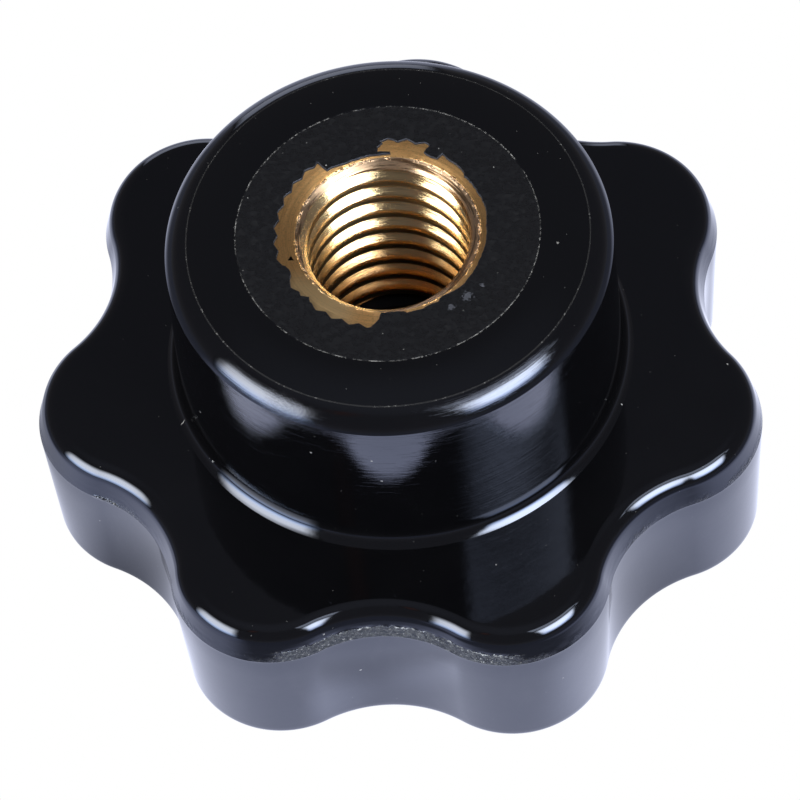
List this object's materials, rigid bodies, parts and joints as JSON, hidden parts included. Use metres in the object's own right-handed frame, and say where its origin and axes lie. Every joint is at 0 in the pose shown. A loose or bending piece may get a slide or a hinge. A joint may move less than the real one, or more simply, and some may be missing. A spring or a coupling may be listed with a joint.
{
  "type": "star knob",
  "caption": "Lobed hand knob of black moulded plastic with a raised round hub and a blind threaded brass insert.",
  "frame": {"origin": "on the thread axis, in the flat hand face that the knob rests on", "axes": "+Z along the thread axis, towards the hub's end face; +Y through one lobe"},
  "size_m": [0.0392, 0.0386, 0.0218],
  "materials": {
    "black_phenolic": "glossy compression-moulded",
    "brass": "machined"
  },
  "bodies": {
    "root": {"knob_body": "black_phenolic", "threaded_insert": "brass"}
  },
  "joints": []
}
